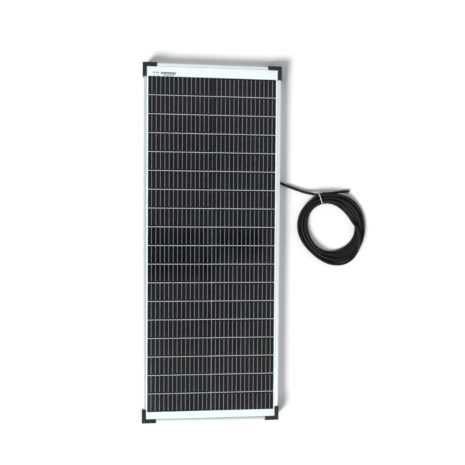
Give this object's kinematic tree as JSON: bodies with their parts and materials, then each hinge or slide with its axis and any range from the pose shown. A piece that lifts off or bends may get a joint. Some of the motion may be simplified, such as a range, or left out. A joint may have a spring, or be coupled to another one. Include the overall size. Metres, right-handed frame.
{
  "type": "solar panel",
  "caption": "Slim framed monocrystalline solar panel with black corner guards, white backsheet, rear junction box with hinged lid, and a coiled output lead.",
  "frame": {"origin": "on the ground, under the middle of the frame's outline", "axes": "+X to the right of the panel's face, +Y along its long side towards the junction-box end, +Z out of the glass"},
  "size_m": [0.665, 1.03, 0.0353],
  "materials": {
    "anodised_frame": "satin clear-anodised extrusion",
    "key_steel": "raw die-cast",
    "guard_plastic": "fine-textured moulded",
    "edge_silicone": "cured sealant",
    "solar_glass": "low-iron tempered",
    "encapsulant": "clear film",
    "cell_silicon": "anti-reflective monocrystalline wafer",
    "tinned_copper": "tinned",
    "white_backsheet": "matt film",
    "label": "printed film",
    "box_plastic": "moulded, spark-eroded texture",
    "steel": "zinc-plated",
    "black_rubber": "matt moulded",
    "brass": "stamped",
    "diode_epoxy": "moulded epoxy",
    "red_core": "smooth insulation",
    "black_core": "smooth insulation",
    "cable_jacket": "satin extruded jacket",
    "tie_nylon": "natural nylon"
  },
  "bodies": {
    "panel": {"frame_rail_left": "anodised_frame", "frame_rail_right": "anodised_frame", "frame_rail_top": "anodised_frame", "frame_rail_bottom": "anodised_frame", "corner_key_bottom_left": "key_steel", "corner_key_bottom_right": "key_steel", "corner_key_top_right": "key_steel", "corner_key_top_left": "key_steel", "corner_guard_bottom_left": "guard_plastic", "corner_guard_bottom_right": "guard_plastic", "corner_guard_top_right": "guard_plastic", "corner_guard_top_left": "guard_plastic", "edge_seal_left": "edge_silicone", "edge_seal_right": "edge_silicone", "edge_seal_top": "edge_silicone", "edge_seal_bottom": "edge_silicone", "front_glass": "solar_glass", "encapsulant_front": "encapsulant", "cell_string_left": "cell_silicon", "cell_string_right": "cell_silicon", "cross_bus_ribbon": "tinned_copper", "bus_ribbon_positive": "tinned_copper", "bus_ribbon_negative": "tinned_copper", "bus_cover_top": "white_backsheet", "bus_cover_bottom": "white_backsheet", "encapsulant_rear": "encapsulant", "backsheet": "white_backsheet", "rating_label": "label", "box_adhesive": "edge_silicone", "junction_box_base": "box_plastic", "lid_hinge_pin": "steel", "lid_seal": "black_rubber", "terminal_positive": "brass", "terminal_negative": "brass", "terminal_screw_positive": "steel", "terminal_screw_negative": "steel", "bypass_diode": "diode_epoxy", "gland_body": "box_plastic", "gland_nut": "box_plastic", "gland_seal": "black_rubber", "strain_relief_boot": "black_rubber", "cable_jacket_in_gland": "cable_jacket", "core_positive": "red_core", "core_negative": "black_core", "output_lead": "cable_jacket", "lead_coil": "cable_jacket", "lead_tail": "cable_jacket", "coil_tie": "tie_nylon"},
    "junction_lid": {"junction_box_lid": "box_plastic"}
  },
  "joints": [
    {"name": "junction_lid_hinge", "type": "hinge", "parent": "panel", "child": "junction_lid", "pos_m": [0, 0.4506, 0.0125], "axis": [1, 0, 0], "range_deg": [0, 105]}
  ]
}
